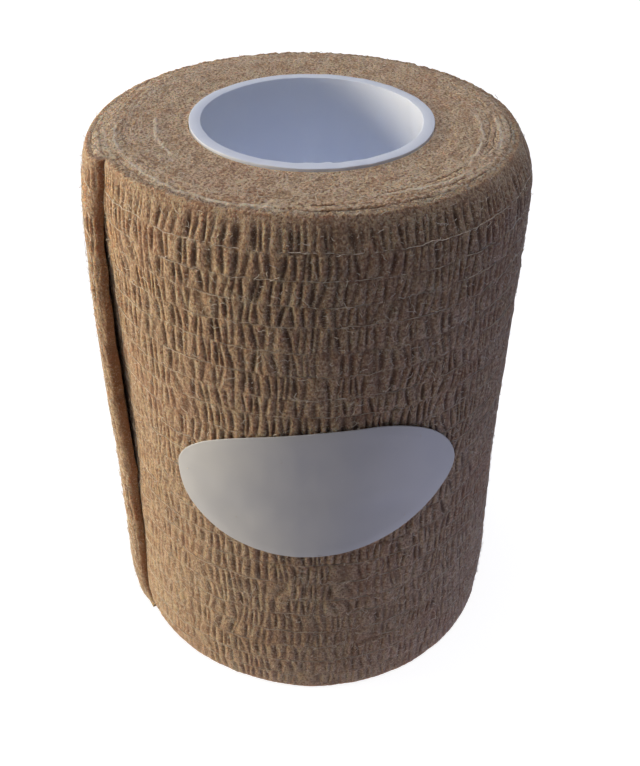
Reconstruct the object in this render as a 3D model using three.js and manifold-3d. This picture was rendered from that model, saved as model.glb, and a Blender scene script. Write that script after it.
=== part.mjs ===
// A cohesive bandage wound on a plastic core, standing on end. Millimetres, +Z up.
// The front is -Y. The last lap ends in a straight cut edge at the left, and a film label
// sits on the front. The origin is the middle of the whole roll's footprint, on the surface
// that it stands on.
import * as THREE from 'three';
import { mergeVertices } from 'three/addons/utils/BufferGeometryUtils.js';
import Module from 'manifold-3d';

const wasm = await Module();
wasm.setup();

// Driving dimensions
const bandageWidth = 75;
const coreOuterRadius = 14.75;
const coreWall = 1.4;
const coreProud = 0.25;
const coreEdgeRound = 0.35;
const outerStartRadius = 26.35;
const lapRise = 1.7;
const lapRiseExponent = 1.5;
const sheetThickness = 1.1;
const pieceGap = 0.3;
const labelThickness = 0.3;
const looseFoot = 0.3;
const looseTop = 73.4;

// Places around the roll, in degrees anticlockwise from +X as seen from above
const looseEdgeAzimuth = 205;
const looseSpan = 42;
const labelAzimuth = 271;
const labelHeight = 38.8;

// Fineness of the facets
const columns = 96;
const coreColumns = 60;
const looseColumns = 12;
const labelColumns = 24;
const labelRows = 10;

// Outline of the roll from the floor up: how far the side stands out beyond the spiral
const sideProfile = [
  { height: 0, out: 0.1 },
  { height: 0.4, out: 0.6 },
  { height: 1, out: 0.95 },
  { height: 3, out: 1.15 },
  { height: 15, out: 0.8 },
  { height: 35, out: 0.35 },
  { height: 51, out: 0.05 },
  { height: 57, out: 0.1 },
  { height: 61, out: 0.25 },
  { height: 65, out: 0.35 },
  { height: 68.5, out: 0.2 },
  { height: 71, out: -0.15 },
  { height: 72.8, out: -0.9 },
  { height: 74, out: -1.8 },
  { height: 74.7, out: -2.6 },
];

// Top face from the shoulder in to the core: the middle turns stand a little proud
const topProfile = [
  { radius: 23.2, height: 75 },
  { radius: 19, height: 74.9 },
  { radius: coreOuterRadius + pieceGap, height: 74.7 },
];

// How far the loose end stands off the roll along its cut edge, beyond the gap at its root
const looseLift = [
  { height: 0, lift: 0 },
  { height: 4, lift: 0.1 },
  { height: 14, lift: 0.4 },
  { height: 30, lift: 0.55 },
  { height: 44, lift: 0.7 },
  { height: 58, lift: 0.6 },
  { height: 68, lift: 0.35 },
  { height: 75, lift: 0 },
];

// Label outline: half width and the heights above and below its tips, as four quarter curves.
// lean is how far along the long direction the quarter meets the top or the bottom, and the
// two pulls are how strongly the curve keeps to the tip's and the crown's direction.
const labelHalfWidth = 18.4;
const labelQuarters = [
  { side: 1, rise: 9.9, lean: 4.4, tipPull: 0.32, crownPull: 0.67 },
  { side: -1, rise: 9.9, lean: 4.4, tipPull: 0.37, crownPull: 0.75 },
  { side: -1, rise: -10.8, lean: -1.8, tipPull: 0.6, crownPull: 0.62 },
  { side: 1, rise: -10.8, lean: -1.8, tipPull: 0.4, crownPull: 0.5 },
];

const colours = {
  bandage: 0xa38562,
  core: 0xe8e8ea,
  label: 0xe4e3e0,
};

function between(rows, at, from, to) {
  const last = rows.length - 1;
  if (at <= rows[0][from]) return rows[0][to];
  if (at >= rows[last][from]) return rows[last][to];
  const next = rows.findIndex((row) => row[from] > at);
  const low = rows[next - 1];
  const high = rows[next];
  const share = (at - low[from]) / (high[from] - low[from]);
  return low[to] + share * (high[to] - low[to]);
}

// The spiral: the radius of the last lap, by the angle in degrees that it has gone round
// since it left the cut edge above it
function lapRadius(turned) {
  return outerStartRadius + lapRise * (turned / 360) ** lapRiseExponent;
}

function placeOnRoll(turned, radius, height) {
  const angle = THREE.MathUtils.degToRad(looseEdgeAzimuth + turned);
  return new THREE.Vector3(radius * Math.cos(angle), radius * Math.sin(angle), height);
}

function material(name, roughness) {
  return new THREE.MeshStandardMaterial({ color: colours[name], roughness, metalness: 0 });
}

function named(name, geometry, finish) {
  const mesh = new THREE.Mesh(geometry, finish);
  mesh.name = name;
  return mesh;
}

// A closed solid from upright sections that go anticlockwise round the roll and share a
// number of points: sections[i][j] is point j of section i, anticlockwise in the section.
// A ring joins its last section to its first. An open band has an even number of points,
// up its outer side and down its inner side, and gets a strip of faces at either end.
function solidOfSections(sections, isRing) {
  const points = sections[0].length;
  const positions = sections.flat().flatMap((point) => point.toArray());
  const triangles = [];
  const spans = isRing ? sections.length : sections.length - 1;
  for (let i = 0; i < spans; i += 1) {
    const here = i * points;
    const next = ((i + 1) % sections.length) * points;
    for (let j = 0; j < points; j += 1) {
      const k = (j + 1) % points;
      triangles.push(here + j, next + j, next + k);
      triangles.push(here + j, next + k, here + k);
    }
  }
  const last = (sections.length - 1) * points;
  for (let j = 0; !isRing && j < points / 2 - 1; j += 1) {
    const inner = points - 1 - j;
    triangles.push(j, j + 1, inner);
    triangles.push(j + 1, inner - 1, inner);
    triangles.push(last + j, last + inner, last + j + 1);
    triangles.push(last + j + 1, last + inner, last + inner - 1);
  }
  const geometry = new THREE.BufferGeometry();
  geometry.setAttribute('position', new THREE.Float32BufferAttribute(positions, 3));
  geometry.setIndex(triangles);
  geometry.computeVertexNormals();
  return geometry;
}

// A flat block, thin along Z, whose points are moved by bend(x, y, z)
function bentBlock(width, height, thickness, across, up, bend) {
  const geometry = new THREE.BoxGeometry(width, height, thickness, across, up, 1);
  geometry.deleteAttribute('normal');
  geometry.deleteAttribute('uv');
  const merged = mergeVertices(geometry, 1e-4);
  const position = merged.getAttribute('position');
  for (let i = 0; i < position.count; i += 1) {
    const moved = bend(position.getX(i), position.getY(i), position.getZ(i));
    position.setXYZ(i, moved.x, moved.y, moved.z);
  }
  merged.computeVertexNormals();
  return merged;
}

function toSolid(geometry) {
  const bare = geometry.clone();
  bare.deleteAttribute('normal');
  bare.deleteAttribute('uv');
  const merged = mergeVertices(bare, 1e-4);
  const vertProperties = new Float32Array(merged.getAttribute('position').array);
  const triVerts = new Uint32Array(merged.index.array);
  return new wasm.Manifold(new wasm.Mesh({ numProp: 3, vertProperties, triVerts }));
}

function toGeometry(solid) {
  const { vertProperties, triVerts } = solid.getMesh();
  const geometry = new THREE.BufferGeometry();
  geometry.setAttribute('position', new THREE.Float32BufferAttribute(vertProperties, 3));
  geometry.setIndex(Array.from(triVerts));
  geometry.computeVertexNormals();
  return geometry;
}

// The winding core: a thin tube with softened rims
function makeCore() {
  const top = bandageWidth + coreProud;
  const inner = coreOuterRadius - coreWall;
  const round = coreEdgeRound;
  const outline = [
    new THREE.Vector2(inner, round),
    new THREE.Vector2(inner + round, 0),
    new THREE.Vector2(coreOuterRadius - round, 0),
    new THREE.Vector2(coreOuterRadius, round),
    new THREE.Vector2(coreOuterRadius, top - round),
    new THREE.Vector2(coreOuterRadius - round, top),
    new THREE.Vector2(inner + round, top),
    new THREE.Vector2(inner, top - round),
    new THREE.Vector2(inner, round),
  ];
  const tube = new THREE.LatheGeometry(outline, coreColumns);
  tube.rotateX(Math.PI / 2);
  return named('core_tube', tube, material('core', 0.45));
}

// One upright section of the wound bandage at an angle round the roll
function rollSection(turned, outerRadius) {
  const bore = coreOuterRadius + pieceGap;
  const section = [placeOnRoll(turned, bore, 0)];
  for (const { height, out } of sideProfile) {
    section.push(placeOnRoll(turned, outerRadius + out, height));
  }
  for (const { radius, height } of topProfile) {
    section.push(placeOnRoll(turned, radius, height));
  }
  return section;
}

// The wound bandage: its outline is the last lap's spiral, which drops to the lap below
// where the loose end lifts off, so that the loose end lies in the step
function makeRoll() {
  const rootTurned = 360 - looseSpan;
  const stepAngle = 0.3;
  const step = 360 / columns;
  const sections = [];
  for (let turned = 0; turned < rootTurned - step / 2; turned += step) {
    sections.push(rollSection(turned, lapRadius(turned)));
  }
  sections.push(rollSection(rootTurned, lapRadius(rootTurned)));
  sections.push(rollSection(rootTurned + stepAngle, outerStartRadius));
  for (let turned = rootTurned + step; turned < 360 - step / 2; turned += step) {
    sections.push(rollSection(turned, outerStartRadius));
  }
  return named('bandage_roll', solidOfSections(sections, true), material('bandage', 0.95));
}

// A point that stands off the roll's side, square to it over the shoulder
function standOff(turned, height, distance) {
  const reach = 0.4;
  const out = between(sideProfile, height, 'height', 'out');
  const above = between(sideProfile, height + reach, 'height', 'out');
  const below = between(sideProfile, height - reach, 'height', 'out');
  const tilt = Math.max(0, Math.atan2(below - above, 2 * reach));
  const radius = outerStartRadius + out + distance * Math.cos(tilt);
  return placeOnRoll(turned, radius, height + distance * Math.sin(tilt));
}

// The loose end: from its root beside the step it follows the spiral to the cut edge
function makeLooseEnd() {
  const rootGap = 1.1;
  const span = looseSpan - rootGap;
  const heights = [...sideProfile, ...looseLift]
    .map((row) => row.height)
    .filter((height) => height > looseFoot && height < looseTop)
    .concat([looseFoot, looseTop])
    .sort((a, b) => a - b);
  const rows = heights.filter((height, i) => height !== heights[i - 1]);
  const sections = [];
  for (let i = 0; i <= looseColumns; i += 1) {
    const share = i / looseColumns;
    const turned = 360 - span + span * share;
    const rise = share ** lapRiseExponent;
    const inner = rows.map((height) => {
      const lift = between(looseLift, height, 'height', 'lift') * rise;
      return standOff(turned, height, pieceGap + lift);
    });
    const outer = rows.map((height) => {
      const lift = between(looseLift, height, 'height', 'lift') * rise;
      return standOff(turned, height, pieceGap + lift + sheetThickness);
    });
    sections.push([...outer, ...inner.reverse()]);
  }
  return named('loose_end', solidOfSections(sections, false), material('bandage', 0.95));
}

// The label's outline, flattened: along the roll's curve and up
function labelOutline() {
  const shape = new THREE.Shape();
  const [right, topLeft, bottomLeft, bottomRight] = labelQuarters;
  const tip = (side) => new THREE.Vector2(side * labelHalfWidth, 0);
  const crown = (quarter) => new THREE.Vector2(quarter.lean, quarter.rise);
  const near = (quarter) => tip(quarter.side).setY(quarter.rise * quarter.tipPull);
  const far = (quarter) => {
    const reach = (tip(quarter.side).x - quarter.lean) * quarter.crownPull;
    return new THREE.Vector2(quarter.lean + reach, quarter.rise);
  };
  shape.moveTo(labelHalfWidth, 0);
  const curve = (first, second, end) => {
    shape.bezierCurveTo(first.x, first.y, second.x, second.y, end.x, end.y);
  };
  curve(near(right), far(right), crown(right));
  curve(far(topLeft), near(topLeft), tip(-1));
  curve(near(bottomLeft), far(bottomLeft), crown(bottomLeft));
  curve(far(bottomRight), near(bottomRight), tip(1));
  return shape;
}

// The label: a thin shell that follows the roll, cut to the outline by a prism seen from
// the front, whose outline is drawn narrower by as much as the shell curves away
function makeLabel() {
  const radius = lapRadius(labelAzimuth - looseEdgeAzimuth);
  const turnPerLength = 180 / (Math.PI * radius);
  const margin = 2;
  const blockWidth = 2 * (labelHalfWidth + margin);
  const blockHeight = 24;
  const middle = labelHeight - 0.5;
  const bend = (along, up, through) => {
    const turned = labelAzimuth - looseEdgeAzimuth + along * turnPerLength;
    const height = middle + up;
    const surface = lapRadius(turned) + between(sideProfile, height, 'height', 'out');
    return placeOnRoll(turned, surface + pieceGap + labelThickness / 2 + through, height);
  };
  const shell = bentBlock(blockWidth, blockHeight, labelThickness, labelColumns, labelRows, bend);
  const cutterDepth = 2 * outerStartRadius;
  const cutter = new THREE.ExtrudeGeometry(labelOutline(), {
    depth: cutterDepth,
    bevelEnabled: false,
    curveSegments: 12,
  });
  const position = cutter.getAttribute('position');
  for (let i = 0; i < position.count; i += 1) {
    const angle = position.getX(i) / radius;
    position.setX(i, radius * Math.sin(angle));
  }
  cutter.rotateX(Math.PI / 2);
  cutter.translate(0, 0, labelHeight);
  cutter.rotateZ(THREE.MathUtils.degToRad(labelAzimuth - 270));
  const patch = toSolid(shell).intersect(toSolid(cutter));
  return named('label', toGeometry(patch), material('label', 0.4));
}

const roll = new THREE.Group();
roll.add(makeCore(), makeRoll(), makeLooseEnd(), makeLabel());
const footprint = new THREE.Box3().setFromObject(roll);
const middle = footprint.getCenter(new THREE.Vector3());
roll.position.set(-middle.x, -middle.y, -footprint.min.z);

const model = new THREE.Group();
model.add(roll);

export default model;
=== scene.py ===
import math

import bpy
import numpy as np
from mathutils import Matrix, Vector


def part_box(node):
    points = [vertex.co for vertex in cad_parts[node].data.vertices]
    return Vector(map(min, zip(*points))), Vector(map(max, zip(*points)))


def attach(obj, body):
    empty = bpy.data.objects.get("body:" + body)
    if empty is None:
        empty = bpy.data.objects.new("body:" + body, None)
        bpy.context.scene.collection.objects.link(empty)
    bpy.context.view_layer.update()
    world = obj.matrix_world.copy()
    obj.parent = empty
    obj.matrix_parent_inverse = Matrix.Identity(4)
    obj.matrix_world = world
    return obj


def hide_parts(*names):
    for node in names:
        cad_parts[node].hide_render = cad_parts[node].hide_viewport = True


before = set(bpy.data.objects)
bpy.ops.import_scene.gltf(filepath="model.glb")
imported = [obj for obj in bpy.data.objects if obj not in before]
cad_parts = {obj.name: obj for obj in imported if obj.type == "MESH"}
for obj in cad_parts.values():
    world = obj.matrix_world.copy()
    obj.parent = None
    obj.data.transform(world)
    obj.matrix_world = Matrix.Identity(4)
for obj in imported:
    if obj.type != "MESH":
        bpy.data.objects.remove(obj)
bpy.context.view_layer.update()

# A roll of crepe bandage on a plastic core, standing on end, with a loose end and a label.
# Lengths are in millimetres from the roll's axis and the floor, until a mesh is made.
# Angles round the roll are in degrees anticlockwise from +X, and the front is -Y.
MM = 0.001

# The core and the width of the bandage, read from the frame
core_low, core_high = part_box("core_tube")
roll_low, roll_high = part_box("bandage_roll")
AXIS_X = (core_low.x + core_high.x) / 2 / MM
AXIS_Y = (core_low.y + core_high.y) / 2 / MM
CORE_RADIUS = (core_high.x - core_low.x) / 2 / MM
CORE_TOP = core_high.z / MM
BANDAGE_WIDTH = roll_high.z / MM
CORE_WALL = 1.4

# The spiral of the last lap, and the loose end that closes it
START_RADIUS = 26.35
LAP_RISE = 1.7
LAP_RISE_EXPONENT = 1.5
INNER_LAP_PITCH = 0.95
EDGE_AZIMUTH = 205
LOOSE_SPAN = 42
ROOT_TURNED = 360 - LOOSE_SPAN
CLOTH_THICKNESS = 2.05
MEAN_RADIUS = 27.0

# How far the side stands out beyond the spiral: height, out
SIDE_PROFILE = (
    (0.0, 0.25),
    (0.5, 0.65),
    (1.2, 0.95),
    (3.0, 1.15),
    (15.0, 0.8),
    (35.0, 0.35),
    (51.0, 0.28),
    (57.0, 0.32),
    (61.0, 0.34),
    (65.0, 0.36),
    (68.5, 0.2),
    (70.8, -0.1),
    (72.2, -0.6),
    (73.2, -1.05),
    (74.0, -1.5),
    (74.6, -2.0),
)

# How far the cut edge stands off the roll, beyond its root: height, lift
LOOSE_LIFT = (
    (0.0, -0.5),
    (5.0, -0.05),
    (14.0, 0.42),
    (30.0, 0.8),
    (44.0, 1.15),
    (57.0, 1.05),
    (66.0, 0.6),
    (73.0, 0.05),
)

# The top face: distance in from the last lap's outer edge, height
TOP_PROFILE = (
    (0.6, 74.66),
    (1.0, 74.8),
    (1.6, 74.89),
    (2.5, 74.96),
    (6.0, 75.0),
    (10.0, 74.95),
)
END_INSET = 0.6

# The shoulder is squarer near the cut edge: the share of it lost there, and over how far
SQUARE_SHARE = 0.7
SQUARE_SPAN = 26

# How much further out the foot is at the front, how high that reaches, and where it comes
# and goes round the roll
FOOT_SPREAD = 0.5
FOOT_SPREAD_HEIGHT = 0.9
FOOT_SPREAD_COMES = (30, 65)
FOOT_SPREAD_GOES = (260, 220)


def ease(share):
    """Goes from 0 to 1 with level ends."""
    share = np.clip(share, 0, 1)
    return share * share * (3 - 2 * share)


def ramp(value, start, finish):
    """0 up to the start and 1 from the finish on, eased between them."""
    return ease((value - start) / (finish - start))


def between(first, second, share):
    return first + (second - first) * share


def bell(distance, reach):
    """1 at no distance, and dying out beyond the reach."""
    return np.exp(-((distance / reach) ** 2))


def look_up(table, at):
    """A table's second column at a value of its first, eased between the rows."""
    places, values = np.array(table).T
    at = np.clip(at, places[0], places[-1])
    below = np.clip(np.searchsorted(places, at, side="right") - 1, 0, len(places) - 2)
    step = places[below + 1] - places[below]
    share = (at - places[below]) / step
    slopes = np.gradient(values, places)
    start = slopes[below] * step
    finish = slopes[below + 1] * step
    rise = values[below + 1] - values[below]
    return (
        values[below]
        + start * share
        + (3 * rise - 2 * start - finish) * share**2
        + (start + finish - 2 * rise) * share**3
    )


HASH_FACTORS = (0x9E3779B97F4A7C15, 0xC2B2AE3D27D4EB4F, 0x165667B19E3779F9)
HASH_SHIFT = np.uint64(29)
HASH_TAIL = np.uint64(11)


def scatter(*keys):
    """A number from 0 to 1 for each set of whole-number keys, the same on every run. The
    last key is a seed, a different one for each use."""
    columns = np.broadcast_arrays(*[np.asarray(key).astype(np.int64) for key in keys])
    mixed = np.zeros(columns[0].shape, np.uint64)
    for column, factor in zip(columns, HASH_FACTORS):
        mixed = (mixed ^ column.astype(np.uint64)) * np.uint64(factor)
        mixed = mixed ^ (mixed >> HASH_SHIFT)
    return (mixed >> HASH_TAIL).astype(float) / 2.0**53


def soft_noise(across, up, seed):
    """Smooth noise from -1 to 1 that changes over about one unit, with a seed for each use."""
    across, up = np.broadcast_arrays(across, up)
    left = np.floor(across)
    low = np.floor(up)
    share = ease(across - left)
    lift = ease(up - low)

    def corner(right, above):
        return 2 * scatter(left + right, low + above, seed) - 1

    bottom = corner(0, 0) * (1 - share) + corner(1, 0) * share
    top = corner(0, 1) * (1 - share) + corner(1, 1) * share
    return bottom * (1 - lift) + top * lift


# Shape of the cloth

# Rows of ridges between the elastic threads, and how unequal they are
ROW_COUNT = 24
ROWS_FOOT = 0.45
ROWS_TOP = 74.5
ROW_SIZES = (0.88, 1.12)
TOP_ROW_SIZE = 1.1

# Ridges: their height where tied by a thread is a share of the full height
RIDGE_SPACING = 1.12
RIDGE_HEIGHT = 0.2
RIDGE_SHARPNESS = 1.8
TIED_RIDGE_SHARE = 0.25
CREST_WAVE = 0.08
CRINKLE_HEIGHT = 0.03

# Threads: their sway up and down, and the depth and reach (in rows) of the pinch they make
THREAD_SWAY = 0.2
PINCH_DEPTH = 0.2
PINCH_REACH = 0.08

# Valleys, in ridges along: their wander, the shift of whole rows, and the slip of each valley
VALLEY_WANDER = 0.52
ROW_SHIFT = 0.9
ROW_SLIP = 0.42

# Pockets in the valleys: depth and half width where tied and where open, and the painted highlight
# along their rims
TIED_DEPTHS = (0.02, 0.08)
OPEN_DEPTHS = (0.05, 0.17)
DEEPEST_POCKET = 0.2
TIED_WIDTH = 0.15
OPEN_WIDENINGS = (0.05, 0.24)
POCKET_SQUARENESS = 2.4
FRINGE_OUT = 0.12
FRINGE_WIDTH = 0.09


def row_heights():
    """Heights of the elastic threads that part the rows of ridges, from the foot up."""
    sizes = between(*ROW_SIZES, scatter(np.arange(ROW_COUNT), 0, 21))
    sizes[-1] = TOP_ROW_SIZE
    steps = np.append(0, np.cumsum(sizes))
    return between(ROWS_FOOT, ROWS_TOP, steps / steps[-1])


THREAD_HEIGHTS = row_heights()


def thread_sway(along, rows_up):
    """How far a thread wanders up or down as it goes round, less at the top and foot."""
    long_sway = soft_noise(along / 15, rows_up * 1.7, 22)
    short_sway = soft_noise(along / 4, rows_up * 5.3, 23)
    from_ends = ease(rows_up / 2) * ease(ROW_COUNT - rows_up)
    return THREAD_SWAY * (long_sway + 0.35 * short_sway) * from_ends


def valley_place(edge, row, share):
    """Where a valley runs, in ridges along: it wanders from one thread to the next."""
    low = scatter(edge, row, 14)
    high = scatter(edge, row + 1, 14)
    wander = VALLEY_WANDER * (between(low, high, ease(share)) - 0.5)
    return edge + wander + ROW_SLIP * (scatter(edge, row, 24) - 0.5)


def ridges_along(along, rows_up, row):
    """How many ridges along a point is, as the ridges drift and each row is shifted."""
    drift = 0.6 * soft_noise(along / 9, rows_up / 2.5, 11)
    drift = drift + 0.3 * soft_noise(along / 3, rows_up / 1.4, 12)
    drift = drift + ROW_SHIFT * soft_noise(along / 4, row * 1.0, 25)
    return along / RIDGE_SPACING + drift


def crepe(along, rows_up):
    """Relief of the crepe, in from the crests, with its painted shade, darkest deep in a pocket,
    and how pale each point is: the threads' pale lines and a painted highlight round the
    pockets. rows_up counts rows from the foot. Low rows open more slowly."""
    row = np.floor(rows_up)
    share = rows_up - row
    phase = ridges_along(along, rows_up, row)
    opened = np.abs(np.sin(math.pi * share)) ** between(1.0, 0.5, rows_up / ROW_COUNT)
    thread = np.round(rows_up)
    pocket = 0
    rim_highlight = 0
    nearest_valley = RIDGE_SPACING
    for step in (-1, 0, 1, 2):
        edge = np.floor(phase) + step
        reach = np.abs(phase - valley_place(edge, row, share)) * RIDGE_SPACING
        tied_depth = between(*TIED_DEPTHS, scatter(edge, thread, 13) ** 2)
        open_depth = between(*OPEN_DEPTHS, scatter(edge, row, 15))
        depth = between(tied_depth, open_depth, opened)
        width = TIED_WIDTH + between(*OPEN_WIDENINGS, scatter(edge, row, 16) ** 1.2) * opened
        pocket = np.maximum(pocket, depth * np.exp(-((reach / width) ** POCKET_SQUARENESS)))
        # Painted highlight along the rim of each pocket
        rim_highlight = np.maximum(rim_highlight, depth * bell(reach - width - FRINGE_OUT, FRINGE_WIDTH))
        nearest_valley = np.minimum(nearest_valley, reach)
    from_crest = 1 - np.clip(nearest_valley / (RIDGE_SPACING / 2), 0, 1)
    rounding = RIDGE_HEIGHT * from_crest**RIDGE_SHARPNESS * between(TIED_RIDGE_SHARE, 1, opened)
    crest = CREST_WAVE * soft_noise(phase / 1.3, rows_up / 0.8, 17)
    crinkle = CRINKLE_HEIGHT * soft_noise(along / 0.5, rows_up * 3, 20)
    grip = 0.6 + 0.4 * soft_noise(along / 1.9, thread, 18)
    pinch = bell(np.minimum(share, 1 - share), PINCH_REACH) * grip
    patch = 0.85 + 0.3 * soft_noise(along / 7, rows_up / 3, 19)
    depth = pocket * patch
    relief = crest + crinkle - rounding - depth - PINCH_DEPTH * pinch
    # Painted shade: darkest deep in the pockets, and on the ridges' flanks and in the threads'
    # pinch
    hollow = np.clip((depth + 0.3 * rounding + 0.06 * pinch) / DEEPEST_POCKET, 0, 1)
    # Pale: the threads' pale pinch lines, and the painted highlight round the pockets
    pale = 0.15 * pinch + rim_highlight / DEEPEST_POCKET
    return relief, hollow, pale


def lap_radius(turned):
    """Radius of the spiral, by the angle turned since the cut edge lay above it."""
    rise = LAP_RISE * (np.maximum(turned, 0) / 360) ** LAP_RISE_EXPONENT
    return START_RADIUS + rise + INNER_LAP_PITCH * np.minimum(turned, 0) / 360


def loose_rise(turned, height):
    """How much further out the loose end is than its root."""
    share = np.clip((turned - ROOT_TURNED) / LOOSE_SPAN, 0, 1)
    return look_up(LOOSE_LIFT, height) * share**LAP_RISE_EXPONENT


def from_cut_edge(turned):
    return np.minimum(np.abs(turned), np.abs(turned - 360))


def side_out(turned, height):
    """How far the side stands out beyond the spiral: less at the shoulder, more at the foot."""
    out = look_up(SIDE_PROFILE, height)
    squared = SQUARE_SHARE * bell(from_cut_edge(turned), SQUARE_SPAN)
    spread = FOOT_SPREAD * ramp(turned, *FOOT_SPREAD_COMES) * ramp(turned, *FOOT_SPREAD_GOES)
    return out - squared * np.minimum(out, 0) + spread * bell(height, FOOT_SPREAD_HEIGHT)


def outer_radius(turned, height):
    """Radius of the last lap's outer face, without its crepe."""
    spiral = lap_radius(np.minimum(turned, ROOT_TURNED))
    return spiral + loose_rise(turned, height) + side_out(turned, height)


def on_roll(turned, radius, height):
    """Points in the frame, in metres, from their place on the roll."""
    angle = np.radians(EDGE_AZIMUTH + turned)
    angle, radius, height = np.broadcast_arrays(angle, radius, height)
    x = AXIS_X + radius * np.cos(angle)
    y = AXIS_Y + radius * np.sin(angle)
    return np.stack([x, y, np.maximum(height, 0)], axis=-1) * MM


def arc_length(turned):
    """Length along the mean lap."""
    return np.radians(turned) * MEAN_RADIUS


def turn_of(length):
    """The angle that a length along the mean lap turns through."""
    return np.degrees(length / MEAN_RADIUS)


# Meshes from grids

def grid_faces(columns, rows, first=0, wrap_columns=False, wrap_rows=False):
    """Quads of a grid whose points are numbered up each column in turn."""
    across = np.arange(columns if wrap_columns else columns - 1)
    up = np.arange(rows if wrap_rows else rows - 1)
    here, low = np.meshgrid(across, up, indexing="ij")
    right = (here + 1) % columns
    high = (low + 1) % rows
    corners = [here * rows + low, right * rows + low, right * rows + high, here * rows + high]
    return np.stack(corners, axis=-1).reshape(-1, 4) + first


def add_object(name, data):
    made = bpy.data.objects.new(name, data)
    bpy.context.scene.collection.objects.link(made)
    return made


def make_mesh(name, points, faces, material, marks=None):
    """A smooth object from arrays of points and faces, with named marks on its points."""
    mesh = bpy.data.meshes.new(name)
    mesh.from_pydata(points.reshape(-1, 3), [], faces)
    mesh.polygons.foreach_set("use_smooth", np.ones(len(mesh.polygons), bool))
    for mark, values in (marks or {}).items():
        is_place = mark == "cloth_place"
        attribute = mesh.attributes.new(mark, "FLOAT_VECTOR" if is_place else "FLOAT", "POINT")
        key = "vector" if is_place else "value"
        attribute.data.foreach_set(key, values.astype(np.float32).ravel())
    mesh.validate()
    mesh.update()
    mesh.materials.append(material)
    return add_object(name, mesh)


def finish_piece(piece, slot, *nodes):
    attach(piece, "root")
    if nodes:
        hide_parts(*nodes)
    return piece


# Node trees

class Socket:
    """A number in a node tree, used in Python arithmetic."""

    def __init__(self, tree, link):
        self.tree = tree
        self.link = link

    def maths(self, operation, *others):
        inputs = dict(enumerate((self, *others)))
        return self.tree.value("ShaderNodeMath", {"operation": operation}, inputs)

    def __add__(self, other):
        return self.maths("ADD", other)

    def __mul__(self, other):
        return self.maths("MULTIPLY", other)

    def __sub__(self, other):
        return self.maths("SUBTRACT", other)

    def __rsub__(self, other):
        return self * -1 + other

    __radd__ = __add__
    __rmul__ = __mul__


class Tree:
    """A node tree that is written as expressions."""

    def __init__(self, nodes, links):
        self.nodes = nodes
        self.links = links

    def node(self, kind, settings=None, inputs=None):
        """Adds any node: its settings come first, then the values or links of its sockets."""
        made = self.nodes.new(kind)
        for key, value in (settings or {}).items():
            setattr(made, key, value)
        for key, value in (inputs or {}).items():
            if isinstance(value, Socket):
                self.links.new(value.link, made.inputs[key])
            else:
                made.inputs[key].default_value = value
        return made

    def value(self, kind, settings=None, inputs=None, output=0):
        made = self.node(kind, settings, inputs)
        return Socket(self, made.outputs[output])

    def noise(self, place, scale, detail=2.0, roughness=0.5):
        inputs = {"Vector": place, "Scale": scale, "Detail": detail, "Roughness": roughness}
        return self.value("ShaderNodeTexNoise", {}, inputs)

    def steps(self, value, low, high):
        """0 below low and 1 above high, with a soft step between."""
        settings = {"interpolation_type": "SMOOTHSTEP"}
        inputs = {"Value": value, "From Min": low, "From Max": high}
        return self.value("ShaderNodeMapRange", settings, inputs)

    def colours(self, first, second, share):
        """A mix of two colours. A Mix node for colours has its sockets at these numbers."""
        settings = {"data_type": "RGBA"}
        return self.value("ShaderNodeMix", settings, {0: share, 6: first, 7: second}, 2)

    def mark(self, name, output="Fac"):
        return self.value("ShaderNodeAttribute", {"attribute_name": name}, {}, output)

    def object_place(self):
        return self.value("ShaderNodeTexCoord", {}, {}, "Object")

    def scaled(self, place, sizes):
        return self.value("ShaderNodeMapping", {}, {"Vector": place, "Scale": sizes})

    def bump(self, height, strength, distance):
        inputs = {"Strength": strength, "Distance": distance * MM, "Height": height}
        return self.value("ShaderNodeBump", {}, inputs)

    def random(self, least, most, seed):
        inputs = {"Min": least, "Max": most, "Seed": seed}
        return self.value("FunctionNodeRandomValue", {}, inputs, "Value")

    def tubes(self, curve, radius):
        inputs = {"Resolution": TUBE_SIDES, "Radius": radius}
        section = self.value("GeometryNodeCurvePrimitiveCircle", {}, inputs)
        inputs = {"Curve": curve, "Profile Curve": section}
        return self.value("GeometryNodeCurveToMesh", {}, inputs)


def new_material(name):
    """A material with only its output, and the tree to fill."""
    material = bpy.data.materials.new(name)
    material.use_nodes = True
    tree = material.node_tree
    tree.nodes.clear()
    return material, Tree(tree.nodes, tree.links)


def surface(tree, **sockets):
    """Closes a material with one principled shader. Underscores stand for spaces."""
    inputs = {key.replace("_", " "): value for key, value in sockets.items()}
    shader = tree.value("ShaderNodeBsdfPrincipled", {}, inputs)
    tree.node("ShaderNodeOutputMaterial", {}, {"Surface": shader})


def rgb(red, green, blue):
    """A colour as it reads on a screen, from 0 to 255, as light."""
    shares = [value / 255 for value in (red, green, blue)]
    light = [s / 12.92 if s <= 0.04045 else ((s + 0.055) / 1.055) ** 2.4 for s in shares]
    return (*light, 1.0)


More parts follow.
